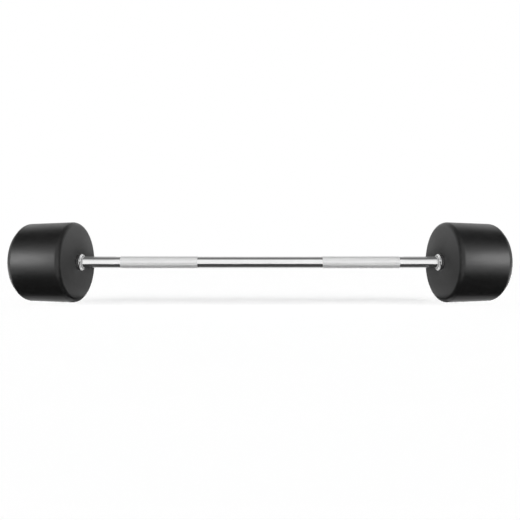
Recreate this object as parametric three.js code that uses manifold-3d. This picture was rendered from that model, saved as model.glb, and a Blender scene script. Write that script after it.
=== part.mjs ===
// Fixed straight barbell: a solid steel bar with two knurled grips, and a rubber-covered drum on each end.
// Lengths are millimetres. +X runs along the bar, +Z is up, and the origin is the middle of the bar's axis.

import * as THREE from "three";
import { mergeVertices, toCreasedNormals } from "three/addons/utils/BufferGeometryUtils.js";
import Module from "manifold-3d";

const wasm = await Module();
wasm.setup();

// Driving dimensions of the bar
const barDiameter = 28;
const distanceBetweenHeads = 866;
const centreSmoothLength = 296;
const gripLength = 183;
const gripRise = 0.2;
const shoulderStep = 2;
const spigotChamfer = 1;
const shoulderDepthInCollar = 4;

// Driving dimensions of a head
const headLength = 121;
const headInnerDiameter = 191.5;
const headTaper = 4.8;
const innerRimRadius = 10;
const outerChamfer = 11.5;
const outerChamferRound = 9;
const innerFaceThickness = 10;
const outerFaceThickness = 9;
const coverWallAtOuterEnd = 9;
const boreLip = 1;

// Collar ring
const collarHeight = 11;
const collarFlangeHeight = 4.8;
const collarFlangeThickness = 3.2;
const collarFlangeRise = 6;
const collarFrontRise = 2.5;
const collarNeckRise = 4;
const collarEdgeChamfer = 0.6;

// Core discs, their dowel pins and the key
const discChamfer = 3;
const dowelDiameter = 10;
const dowelPitchRadius = 55;
const dowelInset = 2;
const dowelChamfer = 1;
const keyWidth = 8;
const keyHeight = 7;
const keyDepthInBar = 4;
const keyMargin = 4;

// End screw, washers and cap
const screwDiameter = 16;
const screwHeadDiameter = 24;
const screwHeadHeight = 10;
const screwHeadChamfer = 1;
const screwTipChamfer = 2;
const socketAcrossFlats = 12;
const socketDepth = 6;
const tappedHoleDepth = 36;
const drillPointAngle = Math.PI / 6;
const screwTipGap = 7.6;
const springWasherThickness = 3.5;
const springWasherWall = 5;
const springWasherSlit = 2;
const springWasherSlitAngle = Math.PI / 5;
const retainingWasherDiameter = 50;
const retainingWasherThickness = 6;
const retainingWasherChamfer = 0.8;
const washerPocketClearance = 1;
const spigotShortfall = 1.5;
const capThickness = 4;
const capLip = 5;
const capSkirtWall = 2.5;
const capSkirtLength = 3.5;
const capEdgeChamfer = 1;
const capSetback = 0.5;
const screwToCapClearance = 1;

// Fit between neighbouring pieces, and how far a cutter runs past what it cuts
const clearance = 0.3;
const cutterOverrun = 1;

// Facets round each kind of piece
const headFacets = 60;
const discFacets = 32;
const barFacets = 40;
const smallFacets = 20;
const holeFacets = 12;
const hexagonSides = 6;
const innerRimSteps = 4;
const chamferRoundSteps = 3;
const creaseAngle = Math.PI / 6;

const materials = {
  chrome: { color: 0xd2d4d6, roughness: 0.12, metalness: 1 },
  rubber: { color: 0x1c1c1d, roughness: 0.48, metalness: 0 },
  discSteel: { color: 0x77797c, roughness: 0.5, metalness: 1 },
  groundSteel: { color: 0xa3a5a8, roughness: 0.3, metalness: 1 },
  blackSteel: { color: 0x2a2a2c, roughness: 0.42, metalness: 1 },
  capPlastic: { color: 0x161617, roughness: 0.4, metalness: 0 },
};

// Places along +X that several pieces share, for the head on the right
const barRadius = barDiameter / 2;
const spigotRadius = barRadius - shoulderStep;
const innerFaceX = distanceBetweenHeads / 2;
const outerFaceX = innerFaceX + headLength;
const cavityStartX = innerFaceX + innerFaceThickness;
const cavityEndX = outerFaceX - outerFaceThickness;
const headInnerRadius = headInnerDiameter / 2;
const cavityRadius = headInnerRadius - headTaper - coverWallAtOuterEnd;
const collarFrontX = innerFaceX - collarHeight;
const shoulderX = collarFrontX + shoulderDepthInCollar;
const capFaceX = outerFaceX - capSetback;
const capSeatX = capFaceX - capThickness;
const screwTopX = capSeatX - screwToCapClearance;
const screwSeatX = screwTopX - screwHeadHeight;
const springSeatX = screwSeatX - springWasherThickness - clearance;
const washerSeatX = springSeatX - retainingWasherThickness - clearance;
const spigotEndX = washerSeatX - spigotShortfall;
const tappedHoleEndX = spigotEndX - tappedHoleDepth;
const washerPocketRadius = retainingWasherDiameter / 2 + washerPocketClearance;

// A closed mesh's vertices, merged by place, as a solid that can be cut and joined.
function toSolid(geometry) {
  const bare = new THREE.BufferGeometry();
  bare.setAttribute("position", geometry.getAttribute("position"));
  bare.setIndex(geometry.index);
  const merged = mergeVertices(bare);
  const corners = merged.index.array;
  const kept = [];
  for (let i = 0; i < corners.length; i += 3) {
    const [a, b, c] = corners.slice(i, i + 3);
    if (a !== b && b !== c && c !== a) kept.push(a, b, c);
  }
  const vertProperties = merged.getAttribute("position").array;
  return new wasm.Manifold(new wasm.Mesh({ numProp: 3, vertProperties, triVerts: new Uint32Array(kept) }));
}

// A profile is a list of [x, radius] pairs that runs outwards, along +X and back in. It is turned round the
// bar's axis, and the turn starts half a facet off, so that a flat facet lies straight under the axis.
function revolve(profile, facets) {
  const points = profile.map(([x, radius]) => new THREE.Vector2(radius, x));
  const geometry = new THREE.LatheGeometry(points, facets, Math.PI / facets);
  geometry.rotateZ(-Math.PI / 2);
  return toSolid(geometry);
}

// The same, for a profile that closes on itself and leaves a bore.
function revolveRing(profile, facets) {
  return revolve([...profile, profile[0]], facets);
}

// A round bar along X from one place to another, off the axis by y.
function rod(fromX, toX, radius, facets, y = 0) {
  const geometry = new THREE.CylinderGeometry(radius, radius, toX - fromX, facets);
  geometry.rotateZ(-Math.PI / 2);
  geometry.translate((fromX + toX) / 2, y, 0);
  return toSolid(geometry);
}

function box(fromX, toX, widthY, fromZ, toZ) {
  const geometry = new THREE.BoxGeometry(toX - fromX, widthY, toZ - fromZ);
  geometry.translate((fromX + toX) / 2, 0, (fromZ + toZ) / 2);
  return toSolid(geometry);
}

// Points of a round edge in a profile, at the corner where two lines meet. The angles are the directions that
// the two lines face, and the arc runs on smoothly from each line.
function roundCorner(cornerX, cornerRadius, radius, fromAngle, toAngle, steps) {
  const reach = radius / (1 + Math.cos(toAngle - fromAngle));
  const centreX = cornerX - reach * (Math.cos(fromAngle) + Math.cos(toAngle));
  const centreRadius = cornerRadius - reach * (Math.sin(fromAngle) + Math.sin(toAngle));
  return Array.from({ length: steps + 1 }, (_, i) => {
    const angle = fromAngle + ((toAngle - fromAngle) * i) / steps;
    return [centreX + radius * Math.cos(angle), centreRadius + radius * Math.sin(angle)];
  });
}

// A flat bar with round ends, as a slot's cutter or as the key that fills it.
function roundEndedBar(fromX, toX, width, fromZ, toZ) {
  const outline = new THREE.Shape();
  const endRadius = width / 2;
  outline.absarc(toX - endRadius, 0, endRadius, -Math.PI / 2, Math.PI / 2);
  outline.absarc(fromX + endRadius, 0, endRadius, Math.PI / 2, (3 * Math.PI) / 2);
  const geometry = new THREE.ExtrudeGeometry(outline, {
    depth: toZ - fromZ,
    bevelEnabled: false,
    curveSegments: holeFacets / 2,
  });
  geometry.translate(0, 0, fromZ);
  return toSolid(geometry);
}

// The bar

const keyStartX = cavityStartX + keyMargin;
const keyEndX = tappedHoleEndX - keyMargin;
const keyBottomZ = spigotRadius - keyDepthInBar;
const keyTopZ = keyBottomZ + keyHeight;

// Half of the bar's outline, from its middle to the bottom of the tapped hole in its end.
function halfBarProfile() {
  const gripStartX = centreSmoothLength / 2;
  const gripEndX = gripStartX + gripLength;
  const gripRadius = barRadius + gripRise;
  const holeRadius = screwDiameter / 2 + clearance;
  return [
    [gripStartX, barRadius],
    [gripStartX + gripRise, gripRadius],
    [gripEndX - gripRise, gripRadius],
    [gripEndX, barRadius],
    [shoulderX, barRadius],
    [shoulderX, spigotRadius],
    [spigotEndX - spigotChamfer, spigotRadius],
    [spigotEndX, spigotRadius - spigotChamfer],
    [spigotEndX, holeRadius],
    [tappedHoleEndX, holeRadius],
    [tappedHoleEndX - holeRadius * Math.tan(drillPointAngle), 0],
  ];
}

function makeBar() {
  const rightHalf = halfBarProfile();
  const leftHalf = rightHalf.map(([x, radius]) => [-x, radius]).reverse();
  const turned = revolve([...leftHalf, ...rightHalf], barFacets);
  const cutterTopZ = barRadius + cutterOverrun;
  const rightSlot = roundEndedBar(
    keyStartX - clearance,
    keyEndX + clearance,
    keyWidth + 2 * clearance,
    keyBottomZ - clearance,
    cutterTopZ,
  );
  const leftSlot = rightSlot.rotate([0, 0, 180]);
  return turned.subtract(rightSlot).subtract(leftSlot);
}

// Pieces of the head on the right, from the collar outwards

function makeCollar() {
  const boreRadius = spigotRadius + clearance;
  const counterboreRadius = barRadius + clearance;
  const frontRadius = barRadius + collarFrontRise;
  const flangeRadius = barRadius + collarFlangeRise;
  const neckRadius = barRadius + collarNeckRise;
  const flangeBackX = innerFaceX - collarFlangeHeight;
  const flangeFrontX = flangeBackX - collarFlangeThickness;
  return revolveRing(
    [
      [collarFrontX, counterboreRadius],
      [collarFrontX, frontRadius],
      [flangeFrontX, flangeRadius],
      [flangeBackX - collarEdgeChamfer, flangeRadius],
      [flangeBackX, flangeRadius - collarEdgeChamfer],
      [flangeBackX, neckRadius],
      [cavityStartX, neckRadius],
      [cavityStartX, boreRadius],
      [shoulderX + clearance, boreRadius],
      [shoulderX + clearance, counterboreRadius],
    ],
    barFacets,
  );
}

// The moulded drum gets narrower outwards. Its inner rim is round, and its outer rim is a 45 degree chamfer
// with two round edges.
function makeHeadCover() {
  const slope = headTaper / headLength;
  const draftAngle = Math.atan(slope);
  const wallRadiusAt = (x) => headInnerRadius - slope * (x - innerFaceX);
  const wallNormal = Math.PI / 2 - draftAngle;
  const chamferNormal = Math.PI / 4;
  const chamferX = outerFaceX - outerChamfer;
  const chamferStartRadius = wallRadiusAt(chamferX);
  const chamferEndRadius = chamferStartRadius - outerChamfer;
  const chamferCorner = (x, radius, fromAngle, toAngle) =>
    roundCorner(x, radius, outerChamferRound, fromAngle, toAngle, chamferRoundSteps);
  const boreRadius = barRadius + collarNeckRise + clearance;
  const capSeatRadius = washerPocketRadius + capLip;
  return revolveRing(
    [
      [innerFaceX + boreLip, boreRadius],
      [innerFaceX, boreRadius + boreLip],
      ...roundCorner(innerFaceX, headInnerRadius, innerRimRadius, Math.PI, wallNormal, innerRimSteps),
      ...chamferCorner(chamferX, chamferStartRadius, wallNormal, chamferNormal),
      ...chamferCorner(outerFaceX, chamferEndRadius, chamferNormal, 0),
      [outerFaceX, capSeatRadius],
      [capSeatX - clearance, capSeatRadius],
      [capSeatX - clearance, washerPocketRadius],
      [cavityEndX, washerPocketRadius],
      [cavityEndX, cavityRadius - discChamfer],
      [cavityEndX - discChamfer, cavityRadius],
      [cavityStartX + discChamfer, cavityRadius],
      [cavityStartX, cavityRadius - discChamfer],
      [cavityStartX, boreRadius],
    ],
    headFacets,
  );
}

// The core is a stack of equal discs that fills the cavity. A keyed bore and two dowel holes run right through.
const discNames = ["inner", "middle", "outer"];
const discThickness = (cavityEndX - cavityStartX - (discNames.length + 1) * clearance) / discNames.length;
const discStartX = (index) => cavityStartX + clearance + index * (discThickness + clearance);
const dowelSides = { front: -1, back: 1 };

function makeCoreDisc(index) {
  const startX = discStartX(index);
  const endX = startX + discThickness;
  const radius = cavityRadius - clearance;
  const boreRadius = spigotRadius + clearance;
  const blank = revolveRing(
    [
      [startX, boreRadius],
      [startX, radius - discChamfer],
      [startX + discChamfer, radius],
      [endX - discChamfer, radius],
      [endX, radius - discChamfer],
      [endX, boreRadius],
    ],
    discFacets,
  );
  const cutFromX = startX - cutterOverrun;
  const cutToX = endX + cutterOverrun;
  let disc = blank.subtract(box(cutFromX, cutToX, keyWidth + 2 * clearance, 0, keyTopZ + clearance));
  for (const side of Object.values(dowelSides)) {
    const hole = rod(cutFromX, cutToX, dowelDiameter / 2 + clearance, holeFacets, side * dowelPitchRadius);
    disc = disc.subtract(hole);
  }
  return disc.subtract(rod(washerSeatX - clearance, outerFaceX, washerPocketRadius, discFacets));
}

function makeDowelPin(side) {
  const radius = dowelDiameter / 2;
  const startX = discStartX(0) + dowelInset;
  const endX = discStartX(discNames.length) - clearance - dowelInset;
  const pin = revolve(
    [
      [startX, 0],
      [startX, radius - dowelChamfer],
      [startX + dowelChamfer, radius],
      [endX - dowelChamfer, radius],
      [endX, radius - dowelChamfer],
      [endX, 0],
    ],
    holeFacets,
  );
  return pin.translate([0, side * dowelPitchRadius, 0]);
}

function makeDriveKey() {
  return roundEndedBar(keyStartX, keyEndX, keyWidth, keyBottomZ, keyTopZ);
}

function makeRetainingWasher() {
  const radius = retainingWasherDiameter / 2;
  const endX = washerSeatX + retainingWasherThickness;
  return revolveRing(
    [
      [washerSeatX, screwDiameter / 2 + clearance],
      [washerSeatX, radius],
      [endX - retainingWasherChamfer, radius],
      [endX, radius - retainingWasherChamfer],
      [endX, screwDiameter / 2 + clearance],
    ],
    smallFacets,
  );
}

function makeSpringWasher() {
  const innerRadius = screwDiameter / 2 + clearance;
  const outerRadius = innerRadius + springWasherWall;
  const endX = springSeatX + springWasherThickness;
  const ring = revolveRing(
    [
      [springSeatX, innerRadius],
      [springSeatX, outerRadius],
      [endX, outerRadius],
      [endX, innerRadius],
    ],
    smallFacets,
  );
  const reach = outerRadius + cutterOverrun;
  const slit = new THREE.BoxGeometry(reach, springWasherSlit, reach);
  slit.rotateZ(springWasherSlitAngle);
  slit.translate((springSeatX + endX) / 2, 0, reach / 2);
  return ring.subtract(toSolid(slit));
}

function makeEndScrew() {
  const shankRadius = screwDiameter / 2;
  const headRadius = screwHeadDiameter / 2;
  const tipX = tappedHoleEndX + screwTipGap;
  const turned = revolve(
    [
      [tipX, 0],
      [tipX, shankRadius - screwTipChamfer],
      [tipX + screwTipChamfer, shankRadius],
      [screwSeatX, shankRadius],
      [screwSeatX, headRadius],
      [screwTopX - screwHeadChamfer, headRadius],
      [screwTopX, headRadius - screwHeadChamfer],
      [screwTopX, 0],
    ],
    smallFacets,
  );
  const socketRadius = socketAcrossFlats / 2 / Math.cos(Math.PI / hexagonSides);
  return turned.subtract(rod(screwTopX - socketDepth, screwTopX + cutterOverrun, socketRadius, hexagonSides));
}

function makeEndCap() {
  const lipRadius = washerPocketRadius + capLip - clearance;
  const skirtRadius = washerPocketRadius - clearance;
  const skirtInnerRadius = skirtRadius - capSkirtWall;
  const skirtEndX = capSeatX - capSkirtLength;
  return revolve(
    [
      [capSeatX, 0],
      [capSeatX, skirtInnerRadius],
      [skirtEndX, skirtInnerRadius],
      [skirtEndX, skirtRadius],
      [capSeatX, skirtRadius],
      [capSeatX, lipRadius],
      [capFaceX - capEdgeChamfer, lipRadius],
      [capFaceX, lipRadius - capEdgeChamfer],
      [capFaceX, 0],
    ],
    smallFacets,
  );
}

// A named mesh with its normals smoothed over round surfaces and left sharp at edges.
function toMesh(name, solid, finish) {
  const { vertProperties, triVerts } = solid.getMesh();
  const geometry = new THREE.BufferGeometry();
  geometry.setAttribute("position", new THREE.BufferAttribute(vertProperties, 3));
  geometry.setIndex(new THREE.BufferAttribute(triVerts, 1));
  const mesh = new THREE.Mesh(
    toCreasedNormals(geometry, creaseAngle),
    new THREE.MeshStandardMaterial(materials[finish]),
  );
  mesh.name = name;
  return mesh;
}

// One end of the barbell, made as the right one. The left one is the same group turned half round about +Z,
// so its front and back change places.
function makeHead(sideName) {
  const isTurned = sideName === "left";
  const head = new THREE.Group();
  head.add(toMesh(`collar_${sideName}`, makeCollar(), "chrome"));
  head.add(toMesh(`head_cover_${sideName}`, makeHeadCover(), "rubber"));
  discNames.forEach((discName, index) => {
    head.add(toMesh(`core_disc_${discName}_${sideName}`, makeCoreDisc(index), "discSteel"));
  });
  for (const [dowelName, side] of Object.entries(dowelSides)) {
    const pin = makeDowelPin(isTurned ? -side : side);
    head.add(toMesh(`dowel_pin_${dowelName}_${sideName}`, pin, "groundSteel"));
  }
  head.add(toMesh(`drive_key_${sideName}`, makeDriveKey(), "groundSteel"));
  head.add(toMesh(`retaining_washer_${sideName}`, makeRetainingWasher(), "groundSteel"));
  head.add(toMesh(`spring_washer_${sideName}`, makeSpringWasher(), "blackSteel"));
  head.add(toMesh(`end_screw_${sideName}`, makeEndScrew(), "blackSteel"));
  head.add(toMesh(`end_cap_${sideName}`, makeEndCap(), "capPlastic"));
  if (isTurned) head.rotation.z = Math.PI;
  return head;
}

const barbell = new THREE.Group();
barbell.add(toMesh("bar", makeBar(), "chrome"));
barbell.add(makeHead("right"));
barbell.add(makeHead("left"));

export default barbell;
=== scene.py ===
import math

import bmesh
import bpy
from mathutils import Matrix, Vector


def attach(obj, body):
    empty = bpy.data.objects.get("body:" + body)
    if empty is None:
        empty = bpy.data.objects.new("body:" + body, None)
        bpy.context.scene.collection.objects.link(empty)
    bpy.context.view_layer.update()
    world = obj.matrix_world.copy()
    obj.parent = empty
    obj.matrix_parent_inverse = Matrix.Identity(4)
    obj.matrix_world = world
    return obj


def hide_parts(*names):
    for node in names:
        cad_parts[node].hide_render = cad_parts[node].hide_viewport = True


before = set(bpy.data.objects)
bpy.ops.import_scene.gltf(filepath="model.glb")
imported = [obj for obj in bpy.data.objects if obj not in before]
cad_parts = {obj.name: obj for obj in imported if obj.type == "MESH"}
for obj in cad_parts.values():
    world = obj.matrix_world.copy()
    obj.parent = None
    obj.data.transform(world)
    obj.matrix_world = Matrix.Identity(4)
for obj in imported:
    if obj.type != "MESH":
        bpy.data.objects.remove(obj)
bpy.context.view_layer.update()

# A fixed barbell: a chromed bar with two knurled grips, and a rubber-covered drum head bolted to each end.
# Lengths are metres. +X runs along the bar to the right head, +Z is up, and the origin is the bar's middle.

MM = 0.001
HALF_TURN = math.pi
QUARTER_TURN = math.pi / 2

# Points closer than this are one point, and edges flatter than this are shaded smooth
NEAR = 1e-6
SMOOTH_ANGLE = math.radians(25)

# Sizes of the bar
BAR_RADIUS = 14 * MM
GRIP_START_X = 148 * MM
GRIP_END_X = 331 * MM
KNURL_CREST_RADIUS = 14.2 * MM
KNURL_VALLEY_RADIUS = 14.02 * MM
KNURL_RUN_IN = 0.2 * MM
KNURL_ROWS = 166
BAR_SIDES = 136
SHOULDER_X = 426 * MM
SPIGOT_RADIUS = 12 * MM
SPIGOT_END_X = 526.9 * MM
SPIGOT_CHAMFER = 1 * MM
TAPPED_HOLE_RADIUS = 8.3 * MM
TAPPED_HOLE_END_X = 490.9 * MM
DRILL_POINT_X = 486.1 * MM
DRILL_POINT_RADIUS = TAPPED_HOLE_RADIUS / 20
KEYWAY_START_X = 446.7 * MM
KEYWAY_END_X = 487.2 * MM
KEYWAY_WIDTH = 8.6 * MM
KEYWAY_BOTTOM_Z = 7.7 * MM

# Sizes of a head
INNER_FACE_X = 433 * MM
OUTER_FACE_X = 554 * MM
DRUM_INNER_RADIUS = 95.75 * MM
DRUM_OUTER_RADIUS = 90.95 * MM
DRUM_DRAFT = math.atan((DRUM_INNER_RADIUS - DRUM_OUTER_RADIUS) / (OUTER_FACE_X - INNER_FACE_X))
INNER_RIM_RADIUS = 10 * MM
OUTER_CHAMFER = 11.5 * MM
OUTER_CHAMFER_ROUND = 9 * MM
CHAMFER_TURN = math.radians(45)
CAVITY_START_X = 443 * MM
CAVITY_END_X = 545 * MM
CAVITY_RADIUS = 81.95 * MM
CAVITY_CHAMFER = 3 * MM
COVER_BORE_RADIUS = 18.3 * MM
COVER_BORE_LIP = 1 * MM
WASHER_POCKET_RADIUS = 26 * MM
CAP_SEAT_RADIUS = 31 * MM
CAP_SEAT_X = 549.2 * MM
HEAD_SIDES = 192

# Sizes of the collar ring
COLLAR_FRONT_X = 422 * MM
COLLAR_FRONT_RADIUS = 16.5 * MM
COLLAR_FLANGE_FRONT_X = 425 * MM
COLLAR_FLANGE_BACK_X = 428.2 * MM
COLLAR_FLANGE_RADIUS = 20 * MM
COLLAR_NECK_RADIUS = 18 * MM
COLLAR_COUNTERBORE_RADIUS = 14.1 * MM
COLLAR_BORE_RADIUS = 12.3 * MM
COLLAR_SHOULDER_X = 426.3 * MM
COLLAR_EDGE_ROUND = 0.6 * MM
COLLAR_SIDES = 128

# Sizes of the end cap
CAP_FACE_X = 553.5 * MM
CAP_BACK_X = 549.5 * MM
CAP_LIP_RADIUS = 30.7 * MM
CAP_SKIRT_RADIUS = 25.7 * MM
CAP_SKIRT_INNER_RADIUS = 23.2 * MM
CAP_SKIRT_END_X = 546 * MM
CAP_DISH_RADIUS = 24 * MM
CAP_DISH_DEPTH = 0.6 * MM
CAP_EDGE_ROUND = 1 * MM
CAP_SIDES = 96

# Where the CAD's screw has its face and its socket
SCREW_TOP_X = 548.5 * MM
SCREW_SOCKET_RADIUS = 6.9 * MM

# The knurl's finish, from its valleys to its crests. Its metal is a little less than full, as if dusty
KNURL_TONES = (0.93, 0.98)
KNURL_ROUGHNESSES = (0.33, 0.3)
KNURL_METALLIC = 0.84

# How far inside the corner of its inner rim a head is rubbed
RIM_WEAR_INSET = 3 * MM

FLOOR_Z = -95.5 * MM


# Modelling by hand


def start_alone(piece):
    """Selects one piece and nothing else."""
    bpy.ops.object.select_all(action="DESELECT")
    piece.select_set(True)
    bpy.context.view_layer.objects.active = piece


def select_ring(piece, x, radius):
    """In edit mode, selects the ring of edges at one place along the bar and one distance from its axis."""
    mesh = bmesh.from_edit_mesh(piece.data)
    for edge in mesh.edges:
        edge.select_set(False)
    for edge in mesh.edges:
        on_ring = [
            abs(corner.co.x - x) < NEAR and abs(math.hypot(corner.co.y, corner.co.z) - radius) < NEAR
            for corner in edge.verts
        ]
        edge.select_set(all(on_ring))
    bmesh.update_edit_mesh(piece.data)


def draw_ring_out(outline):
    """Extrudes the selected ring along the bar to each next station of the outline, and sizes it there."""
    x, radius = outline[0]
    for next_x, next_radius in outline[1:]:
        bpy.ops.mesh.extrude_edges_move(TRANSFORM_OT_translate={"value": (next_x - x, 0, 0)})
        share = next_radius / radius
        bpy.ops.transform.resize(value=(1, share, share), center_override=(next_x, 0, 0))
        x, radius = next_x, next_radius


def turn_piece(name, outline, sides):
    """A piece turned on the bar's axis: a ring of edges, drawn out along an outline of (place, radius).
    An outline that comes back to its start closes on itself, and poles close the ends of any other."""
    bpy.ops.object.select_all(action="DESELECT")
    start_x, start_radius = outline[0]
    bpy.ops.mesh.primitive_circle_add(
        vertices=sides, radius=start_radius, location=(start_x, 0, 0), rotation=(0, QUARTER_TURN, 0)
    )
    piece = bpy.context.object
    piece.name = piece.data.name = name
    bpy.ops.object.transform_apply(location=True, rotation=True, scale=True)
    bpy.ops.object.mode_set(mode="EDIT")
    bpy.ops.mesh.select_mode(type="EDGE")
    bpy.ops.mesh.select_all(action="SELECT")
    draw_ring_out(outline)
    if outline[0] != outline[-1]:
        bpy.ops.mesh.extrude_edges_move(TRANSFORM_OT_translate={"value": (0, 0, 0)})
        bpy.ops.mesh.merge(type="CENTER")
        bpy.ops.mesh.select_mode(type="EDGE")
        select_ring(piece, start_x, start_radius)
        bpy.ops.mesh.extrude_edges_move(TRANSFORM_OT_translate={"value": (0, 0, 0)})
        bpy.ops.mesh.merge(type="CENTER")
    bpy.ops.mesh.select_all(action="SELECT")
    bpy.ops.mesh.remove_doubles(threshold=NEAR)
    bpy.ops.mesh.normals_make_consistent(inside=False)
    bpy.ops.object.mode_set(mode="OBJECT")
    return piece


def round_rings(piece, rings):
    """Bevels rings of edges. Each is (place, radius, width of the bevel, segments)."""
    start_alone(piece)
    bpy.ops.object.mode_set(mode="EDIT")
    bpy.ops.mesh.select_mode(type="EDGE")
    for x, radius, width, segments in rings:
        select_ring(piece, x, radius)
        bpy.ops.mesh.bevel(offset=width, segments=segments, profile=0.5, affect="EDGES")
    bpy.ops.object.mode_set(mode="OBJECT")


def finish_piece(piece, material, slot, *nodes):
    """Smooths a piece's round surfaces, gives it its material and hides the CAD nodes it stands for."""
    start_alone(piece)
    bpy.ops.object.shade_smooth_by_angle(angle=SMOOTH_ANGLE)
    piece.data.materials.clear()
    piece.data.materials.append(material)
    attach(piece, "root")
    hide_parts(*nodes)


def turned_half_round(piece, name):
    """A copy of a piece of the right head, with its own mesh, turned half round for the left head."""
    start_alone(piece)
    bpy.ops.object.duplicate(linked=False)
    copy = bpy.context.object
    copy.name = copy.data.name = name
    bpy.ops.transform.rotate(value=HALF_TURN, orient_axis="Z", center_override=(0, 0, 0))
    bpy.ops.object.transform_apply(location=True, rotation=True, scale=True)
    return copy


# Pieces


def cut_knurl(bar):
    """Cuts the diamond knurl into a grip: rows of points round the bar, with every other point sunk to a
    valley, and each quad split from valley to valley, so that a pyramid stands between four valleys."""
    near = 0.01 * MM
    start_x = GRIP_START_X + KNURL_RUN_IN
    end_x = GRIP_END_X - KNURL_RUN_IN
    row_gap = (end_x - start_x) / KNURL_ROWS
    bpy.ops.mesh.select_mode(type="EDGE")
    mesh = bmesh.from_edit_mesh(bar.data)
    for edge in mesh.edges:
        low, high = sorted(corner.co.x for corner in edge.verts)
        edge.select_set(abs(low - start_x) < near and abs(high - end_x) < near)
    bmesh.update_edit_mesh(bar.data)
    bpy.ops.mesh.subdivide(number_cuts=KNURL_ROWS - 1)
    bpy.ops.mesh.select_mode(type="VERT")
    for is_valley, radius in ((False, KNURL_CREST_RADIUS), (True, KNURL_VALLEY_RADIUS)):
        mesh = bmesh.from_edit_mesh(bar.data)
        for vertex in mesh.verts:
            row = round((vertex.co.x - start_x) / row_gap)
            spoke = round(math.atan2(vertex.co.z, vertex.co.y) / math.tau * BAR_SIDES)
            in_grip = start_x - near < vertex.co.x < end_x + near
            vertex.select_set(in_grip and (row + spoke) % 2 == is_valley)
        mesh.select_flush_mode()
        bmesh.update_edit_mesh(bar.data)
        share = radius / BAR_RADIUS
        bpy.ops.transform.resize(value=(1, share, share), center_override=(0, 0, 0))
    bpy.ops.mesh.select_mode(type="FACE")
    mesh = bmesh.from_edit_mesh(bar.data)
    for face in mesh.faces:
        face.select_set(start_x < face.calc_center_median().x < end_x)
    bmesh.update_edit_mesh(bar.data)
    bpy.ops.mesh.quads_convert_to_tris(quad_method="SHORTEST_DIAGONAL")


def make_bar():
    """The bar, its right half mirrored: smooth middle, knurled grip, smooth end, spigot and tapped hole."""
    half = turn_piece(
        "steel_bar",
        [
            (0, BAR_RADIUS),
            (GRIP_START_X, BAR_RADIUS),
            (GRIP_START_X + KNURL_RUN_IN, BAR_RADIUS),
            (GRIP_END_X - KNURL_RUN_IN, BAR_RADIUS),
            (GRIP_END_X, BAR_RADIUS),
            (SHOULDER_X, BAR_RADIUS),
            (SHOULDER_X, SPIGOT_RADIUS),
            (SPIGOT_END_X - SPIGOT_CHAMFER, SPIGOT_RADIUS),
            (SPIGOT_END_X, SPIGOT_RADIUS - SPIGOT_CHAMFER),
            (SPIGOT_END_X, TAPPED_HOLE_RADIUS),
            (TAPPED_HOLE_END_X, TAPPED_HOLE_RADIUS),
            (DRILL_POINT_X, DRILL_POINT_RADIUS),
        ],
        BAR_SIDES,
    )
    start_alone(half)
    bpy.ops.object.mode_set(mode="EDIT")
    cut_knurl(half)
    # The disc that closes the half at the bar's middle goes, because the other half joins there
    mesh = bmesh.from_edit_mesh(half.data)
    for face in mesh.faces:
        face.select_set(all(corner.co.x < MM for corner in face.verts))
    bmesh.update_edit_mesh(half.data)
    bpy.ops.mesh.delete(type="FACE")
    bpy.ops.object.mode_set(mode="OBJECT")
    cutter = make_keyway_cutter()
    slot = half.modifiers.new("keyway", "BOOLEAN")
    slot.operation = "DIFFERENCE"
    slot.object = cutter
    slot.solver = "FAST"
    mirror = half.modifiers.new("other_half", "MIRROR")
    mirror.use_axis = (True, False, False)
    mirror.use_clip = True
    mirror.merge_threshold = 1e-5
    start_alone(half)
    for name in ("keyway", "other_half"):
        bpy.ops.object.modifier_apply(modifier=name)
    bpy.data.objects.remove(cutter)
    return half


def make_keyway_cutter():
    """The shape that an end mill leaves for the key: a block with its two ends rounded."""
    bpy.ops.object.select_all(action="DESELECT")
    length = KEYWAY_END_X - KEYWAY_START_X
    height = BAR_RADIUS - KEYWAY_BOTTOM_Z
    bpy.ops.mesh.primitive_cube_add(
        size=1,
        location=((KEYWAY_START_X + KEYWAY_END_X) / 2, 0, KEYWAY_BOTTOM_Z + height / 2),
        scale=(length, KEYWAY_WIDTH, height),
    )
    cutter = bpy.context.object
    bpy.ops.object.transform_apply(location=True, rotation=True, scale=True)
    bpy.ops.object.mode_set(mode="EDIT")
    bpy.ops.mesh.select_mode(type="EDGE")
    mesh = bmesh.from_edit_mesh(cutter.data)
    for edge in mesh.edges:
        edge.select_set(abs(edge.verts[0].co.z - edge.verts[1].co.z) > height / 2)
    bmesh.update_edit_mesh(cutter.data)
    end_round = KEYWAY_WIDTH / 2 - 0.01 * MM
    bpy.ops.mesh.bevel(offset=end_round, segments=8, profile=0.5, affect="EDGES")
    bpy.ops.object.mode_set(mode="OBJECT")
    return cutter


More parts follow.
